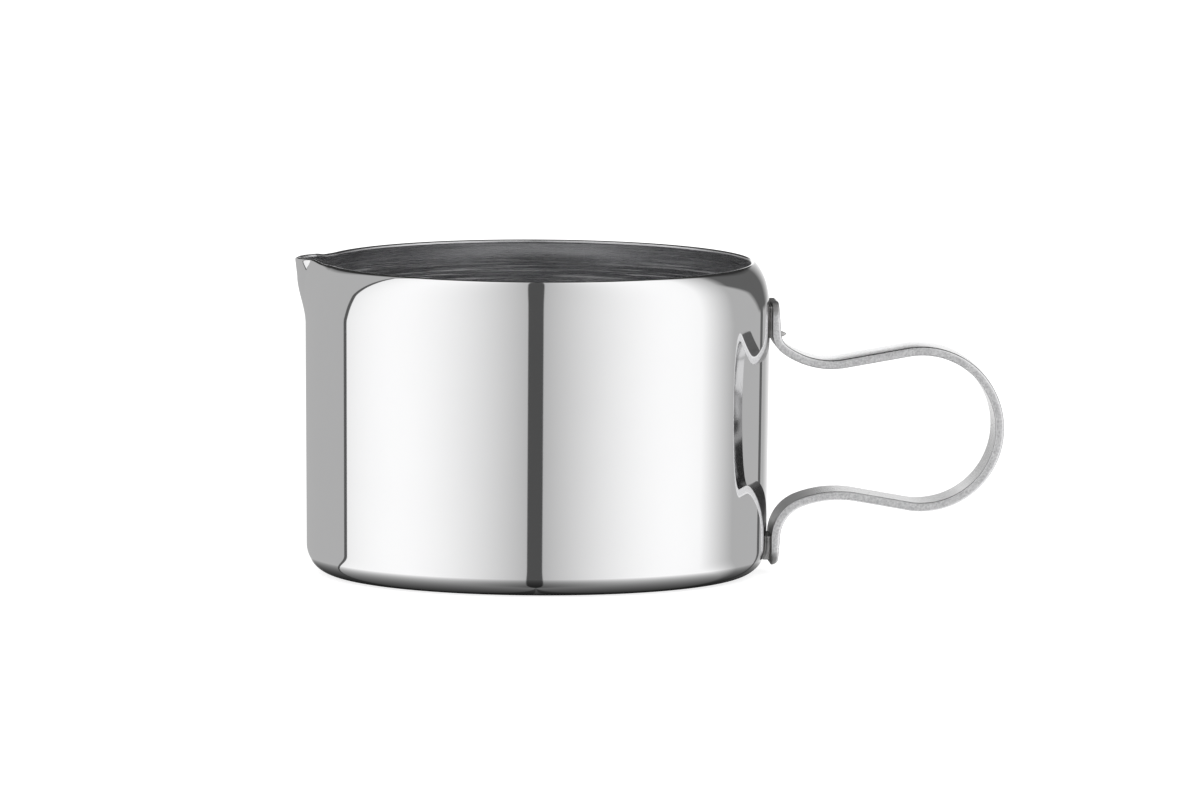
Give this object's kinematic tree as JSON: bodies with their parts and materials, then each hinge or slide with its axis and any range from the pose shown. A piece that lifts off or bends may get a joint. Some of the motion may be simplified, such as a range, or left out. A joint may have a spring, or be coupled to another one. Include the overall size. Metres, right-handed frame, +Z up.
{
  "type": "cream jug",
  "caption": "Small round polished metal cream jug with an inward-curving rim, a pinched pouring lip and a bent flat-strip loop handle.",
  "frame": {"origin": "centre of the flat base the jug stands on, on the cup's axis", "axes": "+Z up along the cup's axis, +X towards the handle, -X towards the pouring lip, whose middle is 4.4 degrees round from it towards +Y, +Y to the right of a person who looks from the handle's side to the lip with +Z up"},
  "size_m": [0.1071, 0.0702, 0.0478],
  "materials": {
    "cup_metal": "mirror-polished stainless steel outside and at the lip, finely brushed inside, with light scratches",
    "handle_metal": "polished stainless strip, satin on the inside of the bends, with ground grey edges",
    "weld_metal": "dark, dull heat-tinted weld metal"
  },
  "bodies": {
    "root": {"cup": "cup_metal", "handle": "handle_metal", "upper_welds": "weld_metal", "lower_welds": "weld_metal"}
  },
  "joints": []
}
